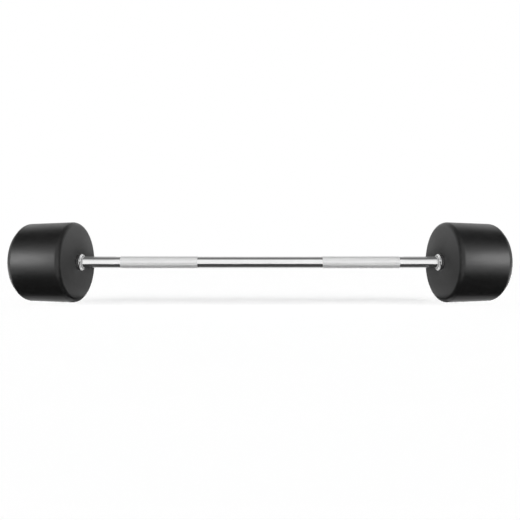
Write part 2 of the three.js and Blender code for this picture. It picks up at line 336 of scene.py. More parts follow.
def make_head_cover():
    """The moulded rubber drum, hollow for the discs: a round inner rim, and a chamfer at its outer end."""
    chamfer_x = OUTER_FACE_X - OUTER_CHAMFER
    chamfer_radius = DRUM_OUTER_RADIUS + OUTER_CHAMFER * math.tan(DRUM_DRAFT)
    outline = [
        (INNER_FACE_X, COVER_BORE_RADIUS + COVER_BORE_LIP),
        (INNER_FACE_X, DRUM_INNER_RADIUS),
        (chamfer_x, chamfer_radius),
        (OUTER_FACE_X, chamfer_radius - OUTER_CHAMFER),
        (OUTER_FACE_X, CAP_SEAT_RADIUS),
        (CAP_SEAT_X, CAP_SEAT_RADIUS),
        (CAP_SEAT_X, WASHER_POCKET_RADIUS),
        (CAVITY_END_X, WASHER_POCKET_RADIUS),
        (CAVITY_END_X, CAVITY_RADIUS - CAVITY_CHAMFER),
        (CAVITY_END_X - CAVITY_CHAMFER, CAVITY_RADIUS),
        (CAVITY_START_X + CAVITY_CHAMFER, CAVITY_RADIUS),
        (CAVITY_START_X, CAVITY_RADIUS - CAVITY_CHAMFER),
        (CAVITY_START_X, COVER_BORE_RADIUS),
        (INNER_FACE_X + COVER_BORE_LIP, COVER_BORE_RADIUS),
        (INNER_FACE_X, COVER_BORE_RADIUS + COVER_BORE_LIP),
    ]
    cover = turn_piece("rubber_head_right", outline, HEAD_SIDES)
    inner_width = INNER_RIM_RADIUS * math.tan((QUARTER_TURN + DRUM_DRAFT) / 2)
    chamfer_wall_width = OUTER_CHAMFER_ROUND * math.tan((CHAMFER_TURN - DRUM_DRAFT) / 2)
    chamfer_face_width = OUTER_CHAMFER_ROUND * math.tan(CHAMFER_TURN / 2)
    small_round = 0.5 * MM
    round_rings(
        cover,
        [
            (INNER_FACE_X, DRUM_INNER_RADIUS, inner_width, 10),
            (chamfer_x, chamfer_radius, chamfer_wall_width, 6),
            (OUTER_FACE_X, chamfer_radius - OUTER_CHAMFER, chamfer_face_width, 6),
            (INNER_FACE_X, COVER_BORE_RADIUS + COVER_BORE_LIP, small_round, 3),
            (OUTER_FACE_X, CAP_SEAT_RADIUS, small_round, 3),
        ],
    )
    return cover


def make_collar():
    """The stepped chrome ring between the bar's shoulder and the head: neck, flange and bevelled front."""
    outline = [
        (COLLAR_FRONT_X, COLLAR_COUNTERBORE_RADIUS),
        (COLLAR_FRONT_X, COLLAR_FRONT_RADIUS),
        (COLLAR_FLANGE_FRONT_X, COLLAR_FLANGE_RADIUS),
        (COLLAR_FLANGE_BACK_X, COLLAR_FLANGE_RADIUS),
        (COLLAR_FLANGE_BACK_X, COLLAR_NECK_RADIUS),
        (CAVITY_START_X, COLLAR_NECK_RADIUS),
        (CAVITY_START_X, COLLAR_BORE_RADIUS),
        (COLLAR_SHOULDER_X, COLLAR_BORE_RADIUS),
        (COLLAR_SHOULDER_X, COLLAR_COUNTERBORE_RADIUS),
        (COLLAR_FRONT_X, COLLAR_COUNTERBORE_RADIUS),
    ]
    collar = turn_piece("collar_ring_right", outline, COLLAR_SIDES)
    round_rings(
        collar,
        [
            (COLLAR_FRONT_X, COLLAR_FRONT_RADIUS, COLLAR_EDGE_ROUND, 4),
            (COLLAR_FLANGE_FRONT_X, COLLAR_FLANGE_RADIUS, COLLAR_EDGE_ROUND, 4),
            (COLLAR_FLANGE_BACK_X, COLLAR_FLANGE_RADIUS, COLLAR_EDGE_ROUND, 4),
            (COLLAR_FRONT_X, COLLAR_COUNTERBORE_RADIUS, COLLAR_EDGE_ROUND / 3, 2),
        ],
    )
    return collar


def make_end_cap():
    """The press-in cap that closes the screw's well: a rounded lip, a shallow dish and a skirt behind."""
    outline = [
        (CAP_FACE_X - CAP_DISH_DEPTH, CAP_DISH_RADIUS - CAP_DISH_DEPTH),
        (CAP_FACE_X, CAP_DISH_RADIUS),
        (CAP_FACE_X, CAP_LIP_RADIUS),
        (CAP_BACK_X, CAP_LIP_RADIUS),
        (CAP_BACK_X, CAP_SKIRT_RADIUS),
        (CAP_SKIRT_END_X, CAP_SKIRT_RADIUS),
        (CAP_SKIRT_END_X, CAP_SKIRT_INNER_RADIUS),
        (CAP_BACK_X, CAP_SKIRT_INNER_RADIUS),
    ]
    cap = turn_piece("well_cap_right", outline, CAP_SIDES)
    round_rings(
        cap,
        [
            (CAP_FACE_X, CAP_LIP_RADIUS, CAP_EDGE_ROUND, 4),
            (CAP_FACE_X, CAP_DISH_RADIUS, CAP_DISH_DEPTH / 2, 2),
        ],
    )
    return cap


# Materials


def plug(tree, value, socket):
    """Feeds a socket with another node's output, or sets it to a number, a vector or a colour."""
    if isinstance(value, bpy.types.NodeSocket):
        tree.links.new(value, socket)
    else:
        socket.default_value = value


def add_math(tree, operation, first, second=0.0):
    node = tree.nodes.new("ShaderNodeMath")
    node.operation = operation
    plug(tree, first, node.inputs[0])
    plug(tree, second, node.inputs[1])
    return node.outputs[0]


def add_noise(tree, vector, scale, detail):
    node = tree.nodes.new("ShaderNodeTexNoise")
    plug(tree, vector, node.inputs["Vector"])
    plug(tree, scale, node.inputs["Scale"])
    node.inputs["Detail"].default_value = detail
    return node.outputs["Fac"]


def add_range(tree, value, low, high, new_low=0.0, new_high=1.0, smooth=True):
    """Goes from one level to another while the value goes from low to high, and holds outside."""
    node = tree.nodes.new("ShaderNodeMapRange")
    node.interpolation_type = "SMOOTHSTEP" if smooth else "LINEAR"
    plug(tree, value, node.inputs["Value"])
    plug(tree, low, node.inputs["From Min"])
    plug(tree, high, node.inputs["From Max"])
    plug(tree, new_low, node.inputs["To Min"])
    plug(tree, new_high, node.inputs["To Max"])
    return node.outputs["Result"]


def add_blend(tree, share, first, second):
    """A number between two others."""
    return add_range(tree, share, 0.0, 1.0, first, second, smooth=False)


def add_tint(tree, share, first, second):
    """A colour between two others. A grey may be given as one number."""
    node = tree.nodes.new("ShaderNodeMix")
    node.data_type = "RGBA"
    plug(tree, share, node.inputs["Factor"])
    for value, label in ((first, "A"), (second, "B")):
        socket = next(s for s in node.inputs if s.name == label and s.type == "RGBA")
        plug(tree, (value, value, value, 1.0) if isinstance(value, float) else value, socket)
    return next(s for s in node.outputs if s.type == "RGBA")


def add_axis_place(tree, vector):
    """Where a point lies on a turned piece: its distance along the bar from the middle, and its radius."""
    split = tree.nodes.new("ShaderNodeSeparateXYZ")
    tree.links.new(vector, split.inputs[0])
    along = add_math(tree, "ABSOLUTE", split.outputs["X"])
    squares = [add_math(tree, "MULTIPLY", split.outputs[axis], split.outputs[axis]) for axis in "YZ"]
    radius = add_math(tree, "SQRT", add_math(tree, "ADD", *squares))
    return along, radius


def new_effect(name, inputs, outputs):
    """An empty node group. Its first input is the place on the surface, and the others are numbers."""
    tree = bpy.data.node_groups.new(name, "ShaderNodeTree")
    tree.interface.new_socket(name="Vector", in_out="INPUT", socket_type="NodeSocketVector")
    for label in inputs:
        tree.interface.new_socket(name=label, in_out="INPUT", socket_type="NodeSocketFloat")
    for label in outputs:
        tree.interface.new_socket(name=label, in_out="OUTPUT", socket_type="NodeSocketFloat")
    return tree, tree.nodes.new("NodeGroupInput").outputs, tree.nodes.new("NodeGroupOutput").inputs


def make_fine_grain():
    """Grain for a bump, and a slow change of tone over 25 grains."""
    tree, given, result = new_effect("fine_grain", ["Scale"], ["Height", "Tone"])
    tree.links.new(add_noise(tree, given["Vector"], given["Scale"], 4), result["Height"])
    slow_scale = add_math(tree, "DIVIDE", given["Scale"], 25.0)
    slow = add_noise(tree, given["Vector"], slow_scale, 3)
    tree.links.new(add_range(tree, slow, 0.3, 0.7), result["Tone"])
    return tree


def make_scuff_marks():
    """Thin scratches round the piece and along it, in patches, which are wider with more Amount."""
    tree, given, result = new_effect("scuff_marks", ["Scale", "Amount"], ["Mask"])
    marks = []
    for stretch in ((1.0, 0.12, 0.12), (0.12, 1.0, 1.0)):
        stretched = tree.nodes.new("ShaderNodeVectorMath")
        stretched.operation = "MULTIPLY"
        tree.links.new(given["Vector"], stretched.inputs[0])
        stretched.inputs[1].default_value = stretch
        noise = add_noise(tree, stretched.outputs[0], given["Scale"], 1)
        off_middle = add_math(tree, "ABSOLUTE", add_math(tree, "SUBTRACT", noise, 0.5))
        marks.append(add_range(tree, off_middle, 0.0, 0.014, 1.0, 0.0))
    patch_scale = add_math(tree, "DIVIDE", given["Scale"], 12.0)
    patch = add_noise(tree, given["Vector"], patch_scale, 2)
    edge = add_math(tree, "SUBTRACT", 0.75, add_math(tree, "MULTIPLY", given["Amount"], 0.5))
    in_patch = add_range(tree, patch, edge, add_math(tree, "ADD", edge, 0.1))
    both = add_math(tree, "MAXIMUM", *marks)
    tree.links.new(add_math(tree, "MULTIPLY", both, in_patch), result["Mask"])
    return tree


def make_ring_wear():
    """Rubbing round an edge, which is a ring at one place and one radius, broken up by noise."""
    tree, given, result = new_effect("ring_wear", ["Place", "Radius", "Reach", "Scale"], ["Mask"])
    along, radius = add_axis_place(tree, given["Vector"])
    offsets = [
        add_math(tree, "SUBTRACT", along, given["Place"]),
        add_math(tree, "SUBTRACT", radius, given["Radius"]),
    ]
    squares = [add_math(tree, "MULTIPLY", offset, offset) for offset in offsets]
    distance = add_math(tree, "SQRT", add_math(tree, "ADD", *squares))
    nearness = add_range(tree, distance, 0.0, given["Reach"], 1.0, 0.0)
    broken = add_range(tree, add_noise(tree, given["Vector"], given["Scale"], 5), 0.38, 0.62)
    tree.links.new(add_math(tree, "MULTIPLY", nearness, broken), result["Mask"])
    return tree


def make_lathe_lines():
    """Fine lines that a cutting tool or a polishing belt leaves round a turned piece, also on its faces."""
    tree, given, result = new_effect("lathe_lines", ["Scale"], ["Height"])
    along, radius = add_axis_place(tree, given["Vector"])
    line = tree.nodes.new("ShaderNodeCombineXYZ")
    tree.links.new(along, line.inputs["X"])
    tree.links.new(radius, line.inputs["Y"])
    tree.links.new(add_noise(tree, line.outputs[0], given["Scale"], 2), result["Height"])
    return tree


def make_settled_dust():
    """Dust on what faces up, gathered in soft patches. Up is how far the surface faces up, from -1 to 1."""
    tree, given, result = new_effect("settled_dust", ["Up", "Scale"], ["Mask"])
    faces_up = add_range(tree, given["Up"], 0.2, 1.0)
    patch = add_range(tree, add_noise(tree, given["Vector"], given["Scale"], 6), 0.35, 0.75)
    tree.links.new(add_math(tree, "MULTIPLY", faces_up, patch), result["Mask"])
    return tree


fine_grain = make_fine_grain()
scuff_marks = make_scuff_marks()
ring_wear = make_ring_wear()
lathe_lines = make_lathe_lines()
settled_dust = make_settled_dust()


def add_effect(tree, effect, vector, **values):
    node = tree.nodes.new("ShaderNodeGroup")
    node.node_tree = effect
    tree.links.new(vector, node.inputs["Vector"])
    for label, value in values.items():
        plug(tree, value, node.inputs[label])
    return node.outputs


def new_finish(name, metallic):
    """A material whose colour, roughness and bump are still to be made, its tree, and the coordinates they
    read: Object is the place on the surface, and Normal is where it faces."""
    material = bpy.data.materials.new(name)
    material.use_nodes = True
    tree = material.node_tree
    tree.nodes["Principled BSDF"].inputs["Metallic"].default_value = metallic
    return material, tree, tree.nodes.new("ShaderNodeTexCoord").outputs


def set_surface(tree, color, roughness, bumps):
    """Feeds a finish. Each bump is a height and how deep it is, in metres, and they lie on each other."""
    shader = tree.nodes["Principled BSDF"]
    plug(tree, color, shader.inputs["Base Color"])
    plug(tree, roughness, shader.inputs["Roughness"])
    normal = None
    for height, depth in bumps:
        bump = tree.nodes.new("ShaderNodeBump")
        bump.inputs["Distance"].default_value = depth
        plug(tree, height, bump.inputs["Height"])
        if normal:
            tree.links.new(normal, bump.inputs["Normal"])
        normal = bump.outputs["Normal"]
    tree.links.new(normal, shader.inputs["Normal"])


def make_bar_chrome():
    """Hard chrome with finger smudges, fine scratches and polishing lines. The knurl is rubbed bright on
    its crests and duller in its valleys, and the spigots inside the heads are bare turned steel."""
    material, tree, coordinates = new_finish("bar_chrome", 1.0)
    spot = coordinates["Object"]
    along, radius = add_axis_place(tree, spot)
    smudge = add_effect(tree, fine_grain, spot, Scale=1100.0)["Tone"]
    scratch = add_effect(tree, scuff_marks, spot, Scale=420.0, Amount=0.35)["Mask"]
    lines = add_effect(tree, lathe_lines, spot, Scale=9000.0)["Height"]
    past_start = add_range(tree, along, GRIP_START_X, GRIP_START_X + KNURL_RUN_IN)
    before_end = add_range(tree, along, GRIP_END_X - KNURL_RUN_IN, GRIP_END_X, 1.0, 0.0)
    in_grip = add_math(tree, "MULTIPLY", past_start, before_end)
    crest = add_range(tree, radius, KNURL_VALLEY_RADIUS, KNURL_CREST_RADIUS)
    in_head = add_range(tree, radius, SPIGOT_RADIUS + 0.2 * MM, SPIGOT_RADIUS + 0.6 * MM, 1.0, 0.0)
    chrome = add_tint(tree, smudge, 0.89, 0.86)
    knurl = add_tint(tree, crest, *KNURL_TONES)
    plated = add_tint(tree, in_grip, chrome, knurl)
    color = add_tint(tree, in_head, plated, 0.45)
    smooth = add_blend(tree, smudge, 0.135, 0.16)
    scratched = add_blend(tree, scratch, smooth, 0.26)
    knurled = add_blend(tree, crest, *KNURL_ROUGHNESSES)
    roughness = add_blend(tree, in_head, add_blend(tree, in_grip, scratched, knurled), 0.4)
    metallic = add_blend(tree, in_grip, 1.0, KNURL_METALLIC)
    plug(tree, metallic, tree.nodes["Principled BSDF"].inputs["Metallic"])
    set_surface(tree, color, roughness, [(lines, 0.0004 * MM), (scratch, -0.0006 * MM)])
    return material


def make_collar_chrome():
    """Satin chrome over a turned ring, with a rubbed edge on the flange."""
    material, tree, coordinates = new_finish("collar_chrome", 1.0)
    spot = coordinates["Object"]
    tone = add_effect(tree, fine_grain, spot, Scale=3000.0)["Tone"]
    lines = add_effect(tree, lathe_lines, spot, Scale=5000.0)["Height"]
    edge = {"Place": COLLAR_FLANGE_FRONT_X, "Radius": COLLAR_FLANGE_RADIUS}
    worn = add_effect(tree, ring_wear, spot, **edge, Reach=1.2 * MM, Scale=700.0)["Mask"]
    color = add_tint(tree, worn, add_tint(tree, tone, 0.6, 0.64), 0.7)
    roughness = add_blend(tree, worn, add_blend(tree, tone, 0.2, 0.24), 0.16)
    set_surface(tree, color, roughness, [(lines, 0.0015 * MM)])
    return material


def make_head_rubber():
    """Satin moulded rubber: fine grain over a soft unevenness, greyer and smoother where its rims are
    rubbed, with a few scuffs, and a little dust on top."""
    material, tree, coordinates = new_finish("head_rubber", 0.0)
    spot = coordinates["Object"]
    up = tree.nodes.new("ShaderNodeSeparateXYZ")
    tree.links.new(coordinates["Normal"], up.inputs[0])
    grain = add_effect(tree, fine_grain, spot, Scale=2200.0)
    unevenness = add_effect(tree, fine_grain, spot, Scale=140.0)["Height"]
    dust = add_effect(tree, settled_dust, spot, Up=up.outputs["Z"], Scale=55.0)["Mask"]
    scuffs = add_effect(tree, scuff_marks, spot, Scale=160.0, Amount=0.3)["Mask"]
    rims = [
        (INNER_FACE_X + RIM_WEAR_INSET, DRUM_INNER_RADIUS - RIM_WEAR_INSET),
        (OUTER_FACE_X - OUTER_CHAMFER, DRUM_OUTER_RADIUS),
        (OUTER_FACE_X, DRUM_OUTER_RADIUS - OUTER_CHAMFER),
    ]
    worn = 0.0
    for place, radius in rims:
        edge = {"Place": place, "Radius": radius}
        rim = add_effect(tree, ring_wear, spot, **edge, Reach=5 * MM, Scale=90.0)["Mask"]
        worn = add_math(tree, "MAXIMUM", rim, worn)
    black = add_tint(tree, grain["Tone"], 0.0045, 0.006)
    marked = add_math(tree, "MAXIMUM", worn, add_math(tree, "MULTIPLY", scuffs, 0.5))
    rubbed = add_tint(tree, marked, black, 0.011)
    color = add_tint(tree, dust, rubbed, 0.009)
    even = add_blend(tree, grain["Tone"], 0.365, 0.395)
    roughness = add_blend(tree, dust, add_blend(tree, worn, even, 0.34), 0.43)
    set_surface(tree, color, roughness, [(unevenness, 0.02 * MM), (grain["Height"], 0.004 * MM)])
    return material


def make_cap_plastic():
    """Moulded plastic with a fine sparked grain, the gate's mark in its middle and a rubbed edge."""
    material, tree, coordinates = new_finish("cap_plastic", 0.0)
    spot = coordinates["Object"]
    radius = add_axis_place(tree, spot)[1]
    grain = add_effect(tree, fine_grain, spot, Scale=3500.0)
    edge = {"Place": CAP_FACE_X, "Radius": CAP_LIP_RADIUS}
    worn = add_effect(tree, ring_wear, spot, **edge, Reach=1.5 * MM, Scale=350.0)["Mask"]
    gate = add_range(tree, radius, 1.2 * MM, 1.8 * MM)
    color = add_tint(tree, worn, add_tint(tree, grain["Tone"], 0.011, 0.014), 0.024)
    roughness = add_blend(tree, worn, add_blend(tree, grain["Tone"], 0.43, 0.49), 0.36)
    set_surface(tree, color, roughness, [(gate, 0.15 * MM), (grain["Height"], 0.01 * MM)])
    return material


def make_disc_steel():
    """Rolled plate with patchy mill scale, and the drag lines of the cutting torch round its rim."""
    material, tree, coordinates = new_finish("disc_steel", 1.0)
    spot = coordinates["Object"]
    radius = add_axis_place(tree, spot)[1]
    scale = add_effect(tree, fine_grain, spot, Scale=1500.0)
    on_rim = add_range(tree, radius, CAVITY_RADIUS - CAVITY_CHAMFER, CAVITY_RADIUS - CAVITY_CHAMFER / 2)
    stretched = tree.nodes.new("ShaderNodeVectorMath")
    stretched.operation = "MULTIPLY"
    tree.links.new(spot, stretched.inputs[0])
    stretched.inputs[1].default_value = (0.1, 1.0, 1.0)
    drag = add_math(tree, "MULTIPLY", add_noise(tree, stretched.outputs[0], 900.0, 1), on_rim)
    color = add_tint(tree, on_rim, add_tint(tree, scale["Tone"], 0.12, 0.24), 0.3)
    roughness = add_blend(tree, scale["Tone"], 0.6, 0.42)
    set_surface(tree, color, roughness, [(scale["Height"], 0.02 * MM), (drag, 0.12 * MM)])
    return material


def make_ground_steel():
    """Bright ground steel with grinding lines, a few handling scratches and slight oil tones."""
    material, tree, coordinates = new_finish("ground_steel", 1.0)
    spot = coordinates["Object"]
    tone = add_effect(tree, fine_grain, spot, Scale=2400.0)["Tone"]
    lines = add_effect(tree, lathe_lines, spot, Scale=7000.0)["Height"]
    scratch = add_effect(tree, scuff_marks, spot, Scale=500.0, Amount=0.5)["Mask"]
    color = add_tint(tree, tone, 0.34, 0.4)
    roughness = add_blend(tree, scratch, add_blend(tree, tone, 0.27, 0.33), 0.42)
    set_surface(tree, color, roughness, [(lines, 0.002 * MM), (scratch, -0.002 * MM)])
    return material


def make_black_steel():
    """Black oxide on hardened steel, mottled by oil and worn to grey where the tool turns the screw."""
    material, tree, coordinates = new_finish("black_steel", 1.0)
    spot = coordinates["Object"]
    grain = add_effect(tree, fine_grain, spot, Scale=2000.0)
    edge = {"Place": SCREW_TOP_X, "Radius": SCREW_SOCKET_RADIUS}
    worn = add_effect(tree, ring_wear, spot, **edge, Reach=2 * MM, Scale=600.0)["Mask"]
    color = add_tint(tree, worn, add_tint(tree, grain["Tone"], 0.025, 0.04), 0.2)
    roughness = add_blend(tree, grain["Tone"], 0.38, 0.48)
    set_surface(tree, color, roughness, [(grain["Height"], 0.006 * MM)])
    return material


# The pieces, dressed

finishes = {
    "bar": make_bar_chrome(),
    "collar": make_collar_chrome(),
    "head_cover": make_head_rubber(),
    "end_cap": make_cap_plastic(),
    "core_disc": make_disc_steel(),
    "dowel_pin": make_ground_steel(),
    "end_screw": make_black_steel(),
}
finishes["drive_key"] = finishes["retaining_washer"] = finishes["dowel_pin"]
finishes["spring_washer"] = finishes["end_screw"]

bar = make_bar()
finish_piece(bar, finishes["bar"], "bar_chrome", "bar")
pairs = {}
for make_right, kind, node, slot in (
    (make_head_cover, "rubber_head", "head_cover", "head_rubber"),
    (make_collar, "collar_ring", "collar", "collar_chrome"),
    (make_end_cap, "well_cap", "end_cap", "cap_plastic"),
):
    right = make_right()
    pairs[kind] = (right, turned_half_round(right, f"{kind}_left"))
    for piece, side in zip(pairs[kind], ("right", "left")):
        finish_piece(piece, finishes[node], slot, f"{node}_{side}")
heads = pairs["rubber_head"]
collars = pairs["collar_ring"]

# The nodes inside the heads are shown as the CAD has them
for name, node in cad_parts.items():
    if node.hide_render:
        continue
    kind = next(kind for kind in finishes if name.startswith(kind + "_"))
    node.data.materials.clear()
    node.data.materials.append(finishes[kind])


# Studio: a white room, lamps overhead and in front, and glowing boards that only show in reflections, where
# they are painted reflections of light and shade

BACKGROUND_RAYS = ("Is Camera Ray", "Is Glossy Ray", "Is Transmission Ray")
RAYS_WITHOUT_BOARDS = ("camera", "diffuse", "shadow", "transmission", "volume_scatter")
RAYS_WITHOUT_ROD = ("camera", "diffuse", "glossy", "transmission", "volume_scatter")
WORLD_LIGHT = 0.06
FLOOR_SIZE = 24
ROUND_BOARD_SIDES = 48
SCREEN_SIDES = 72

# Heights of the boards, and where they end
BOARD_Z = FLOOR_Z + 5 * MM
EDGE_CARD_Z = BOARD_Z + 0.3 * MM
RIM_CARD_Z = FLOOR_Z + 1 * MM
CEILING_Z = 1.5
CEILING_END_X = 1.12
WALL_DISTANCE = 2.5
WALL_END_X = 1.1
WALL_TOP_Z = 0.2
# Brightness of the wall's painted reflection
WALL_BRIGHTNESS = 0.17
HEADS_START_X = 0.43

# The two broad lamps: name, width and tilt in degrees, and share of the floor's white
SUNS = (("ceiling_light", 95, 17, 0.65), ("front_light", 60, 45, 0.285))

# Cards across the middle: name, half of the width, places across the bar, height, brightness, and the
# pieces that mirror it, where those aren't all
# These cards paint reflections: the dark cards under the bar paint the shade below it, behind_bar_card paints
# the floor in the bar's shadow for the bar and collars and painted shade for the heads, near_floor_card
# paints the shadowed floor behind, the dark floor cards further back and over_bar_card paint dark
# surroundings, and the other two overhead paint grey light
MIDDLE_CARDS = (
    ("under_bar_card", HEADS_START_X, (-0.143, 0.014), BOARD_Z, 0.06, ()),
    ("under_middle_card", 0.18, (-0.17, -0.143), BOARD_Z, 0.06, ()),
    ("behind_bar_card", HEADS_START_X, (0.014, 0.06), BOARD_Z, 0.6, (bar, *collars)),
    ("near_floor_card", HEADS_START_X, (0.06, 0.3), BOARD_Z, 0.8, ()),
    ("back_floor_card", 0.5, (0.3, 0.9), BOARD_Z, 0.05, ()),
    ("far_floor_card", WALL_END_X, (0.9, WALL_DISTANCE), BOARD_Z, 0.05, ()),
    ("over_bar_card", CEILING_END_X, (-0.9, 0.55), CEILING_Z, 0.2, ()),
    ("over_back_card", CEILING_END_X, (0.55, 1.5), CEILING_Z, 0.65, ()),
    ("over_front_card", CEILING_END_X, (-1.35, -0.9), CEILING_Z, 0.6, ()),
)

# Cards on both sides: name, places along the bar and across it, height, brightness and turn. The two that are
# turned grade the drum's underside, and follow its taper in the picture
EDGE_CARD_TURN = math.radians(6)
# These cards paint reflections on the heads: over_drum_card and under_drum_card paint shade on the drum's
# upper barrel and underside, drum_edge_card and drum_foot_card paint a graded light along its bottom edge,
# and under_rim_card paints light under the inner rim
SIDE_CARDS = (
    ("over_drum_card", (CEILING_END_X, 3.5), (-1.3, 0.52), CEILING_Z, 0, 0),
    ("under_drum_card", (HEADS_START_X, 0.64), (-0.22, -0.04), BOARD_Z, 0.04, 0),
    ("drum_edge_card", (HEADS_START_X, 0.605), (-0.0455, -0.0315), EDGE_CARD_Z, 0.42, EDGE_CARD_TURN),
    ("drum_foot_card", (HEADS_START_X, 0.605), (-0.0315, -0.0135), EDGE_CARD_Z, 0.7, EDGE_CARD_TURN),
    ("under_rim_card", (0.4, 0.442), (-0.07, 0.06), RIM_CARD_Z, 0.33, 0),
)

# Flags that stand across the bar: places across it, heights and brightness
# The flags paint reflections: the middle flag paints a bright patch in front for the bar and the heads, and
# the side flags paint a grey one beside the heads
MIDDLE_FLAG = ((-0.25, -0.13), (-0.07, 0.07), 1.0)
SIDE_FLAG_X = 1.5
SIDE_FLAG = ((0.1, 1), (-0.05, 0.5), 0.35)

# Screens round the bar at each head: name, place along the bar, inner and outer radius, sectors, and the
# pieces that mirror it. Sectors are (end angle, brightness), with 0 in front of the bar and 90 over it
FACE_SECTORS = ((-32, 0.04), (28, 1), (45, 0.85), (62, 0.42), (181, 0.15))
ROOM_SECTORS = (
    (-110, 0.87),
    (-32, 0.04),
    (28, 1),
    (45, 0.85),
    (62, 0.42),
    (100, 0.18),
    (125, 0.4),
    (181, 0.7),
)
NECK_SECTORS = ((-35, 0.03), (40, 0.07), (181, 0.05))
FLANGE_SECTORS = ((-35, 0.35), (55, 0.42), (181, 0.5))
# The screens paint reflections: the bar mirrors face_screen and room_screen in place of the heads and the
# room round them, and flange_screen in place of the collar's front, and the collars mirror neck_screen as
# painted shade in their necks
SCREENS = (
    ("face_screen", INNER_FACE_X - 0.5 * MM, (18.2 * MM, 95.8 * MM), FACE_SECTORS, [bar]),
    ("room_screen", INNER_FACE_X - 0.5 * MM, (95.8 * MM, 250 * MM), ROOM_SECTORS, [bar]),
    ("neck_screen", INNER_FACE_X - 0.6 * MM, (18.2 * MM, 43 * MM), NECK_SECTORS, collars),
    ("flange_screen", COLLAR_FRONT_X - 0.1 * MM, (14.05 * MM, COLLAR_FLANGE_RADIUS), FLANGE_SECTORS, [bar]),
)

# Lamps that show only as highlights, on the collars or on the head of their side: name, place, target, size
# and power, for the right side
COLLAR_LIGHTS = (
    ("collar_top_light", (0.4, 0, 0.038), (1.4, 0, 0.038), (0.045, 0.12), 0.0094),
    ("collar_bottom_light", (0.4, 0, -0.038), (1.4, 0, -0.038), (0.045, 0.12), 0.0094),
)
HEAD_LIGHTS = (
    ("drum_light", (1.03, -0.75, 0.125), (0.49, -0.08, 0), (0.3, 0.42), 3.0),
    ("face_top_light", (0.375, 0.21, 0.05), (INNER_FACE_X, 0.05, 0.05), (0.025, 0.05), 0.0035),
    ("face_bottom_light", (0.375, 0.21, -0.05), (INNER_FACE_X, 0.05, -0.05), (0.025, 0.05), 0.0035),
)


def make_world():
    """A white room. What shows of it is plain white, and what lights the object is at its own level."""
    world = bpy.data.worlds.new("studio")
    bpy.context.scene.world = world
    world.use_nodes = True
    world.cycles.sampling_method = "NONE"
    tree = world.node_tree
    tree.nodes.clear()
    path = tree.nodes.new("ShaderNodeLightPath")
    shown = 0.0
    for name in BACKGROUND_RAYS:
        shown = add_math(tree, "MAXIMUM", path.outputs[name], shown)
    mix = tree.nodes.new("ShaderNodeMixShader")
    tree.links.new(shown, mix.inputs["Fac"])
    for level, socket in ((WORLD_LIGHT, mix.inputs[1]), (1.0, mix.inputs[2])):
        white = tree.nodes.new("ShaderNodeBackground")
        white.inputs["Color"].default_value = (1, 1, 1, 1)
        white.inputs["Strength"].default_value = level
        tree.links.new(white.outputs[0], socket)
    output = tree.nodes.new("ShaderNodeOutputWorld")
    tree.links.new(mix.outputs[0], output.inputs["Surface"])


def make_floor():
    bpy.ops.object.select_all(action="DESELECT")
    bpy.ops.mesh.primitive_plane_add(size=FLOOR_SIZE, location=(0, 0, FLOOR_Z))
    floor = bpy.context.object
    floor.name = "floor"
    bpy.ops.object.transform_apply(location=True, rotation=True, scale=True)
    material = bpy.data.materials.new("white_floor")
    material.use_nodes = True
    shader = material.node_tree.nodes["Principled BSDF"]
    shader.inputs["Base Color"].default_value = (1, 1, 1, 1)
    shader.inputs["Roughness"].default_value = 1
    shader.inputs["Specular IOR Level"].default_value = 0
    floor.data.materials.append(material)


def make_collection(name, pieces):
    """A collection for light linking."""
    collection = bpy.data.collections.new(name)
    for piece in pieces:
        collection.objects.link(piece)
    return collection


def make_sun(name, width, tilt, share, blockers):
    """A broad lamp overhead, leaning towards the front by its tilt, that gives its share of the floor's
    white. Only the blockers throw its shadow."""
    tilt = math.radians(tilt)
    data = bpy.data.lights.new(name, "SUN")
    data.angle = math.radians(width)
    data.energy = share * math.pi / math.cos(tilt)
    sun = bpy.data.objects.new(name, data)
    bpy.context.scene.collection.objects.link(sun)
    sun.rotation_euler = (tilt, 0, 0)
    sun.visible_glossy = False
    data.cycles.use_multiple_importance_sampling = False
    sun.light_linking.blocker_collection = make_collection(f"{name}_blockers", blockers)


def make_softbox(name, place, target, size, power, receivers):
    """A lamp that shows as a soft highlight on the receivers alone."""
    data = bpy.data.lights.new(name, "AREA")
    data.shape = "RECTANGLE"
    data.size, data.size_y = size
    data.energy = power
    softbox = bpy.data.objects.new(name, data)
    bpy.context.scene.collection.objects.link(softbox)
    softbox.location = place
    softbox.rotation_euler = (Vector(target) - Vector(place)).to_track_quat("-Z", "Y").to_euler()
    softbox.visible_diffuse = False
    softbox.light_linking.receiver_collection = make_collection(f"{name}_receivers", receivers)


def make_glow(name, brightness, is_one_sided=False):
    """A material that glows evenly. A one-sided one is clear from behind."""
    material = bpy.data.materials.new(name)
    material.use_nodes = True
    tree = material.node_tree
    tree.nodes.clear()
    emission = tree.nodes.new("ShaderNodeEmission")
    emission.inputs["Strength"].default_value = brightness
    surface = emission.outputs[0]
    if is_one_sided:
        mix = tree.nodes.new("ShaderNodeMixShader")
        tree.links.new(tree.nodes.new("ShaderNodeNewGeometry").outputs["Backfacing"], mix.inputs["Fac"])
        tree.links.new(surface, mix.inputs[1])
        tree.links.new(tree.nodes.new("ShaderNodeBsdfTransparent").outputs[0], mix.inputs[2])
        surface = mix.outputs[0]
    tree.links.new(surface, tree.nodes.new("ShaderNodeOutputMaterial").inputs["Surface"])
    return material


# Every board's glow is a painted reflection: bright boards paint light into the reflections and dark ones
# paint shade
def stage_board(board, name, materials, receivers=()):
    """Keeps a board for reflections only. With receivers, the other pieces mirror it black."""
    board.name = board.data.name = name
    for material in materials:
        board.data.materials.append(material)
    for ray in RAYS_WITHOUT_BOARDS:
        setattr(board, f"visible_{ray}", False)
    if receivers:
        board.light_linking.receiver_collection = make_collection(f"{name}_receivers", receivers)


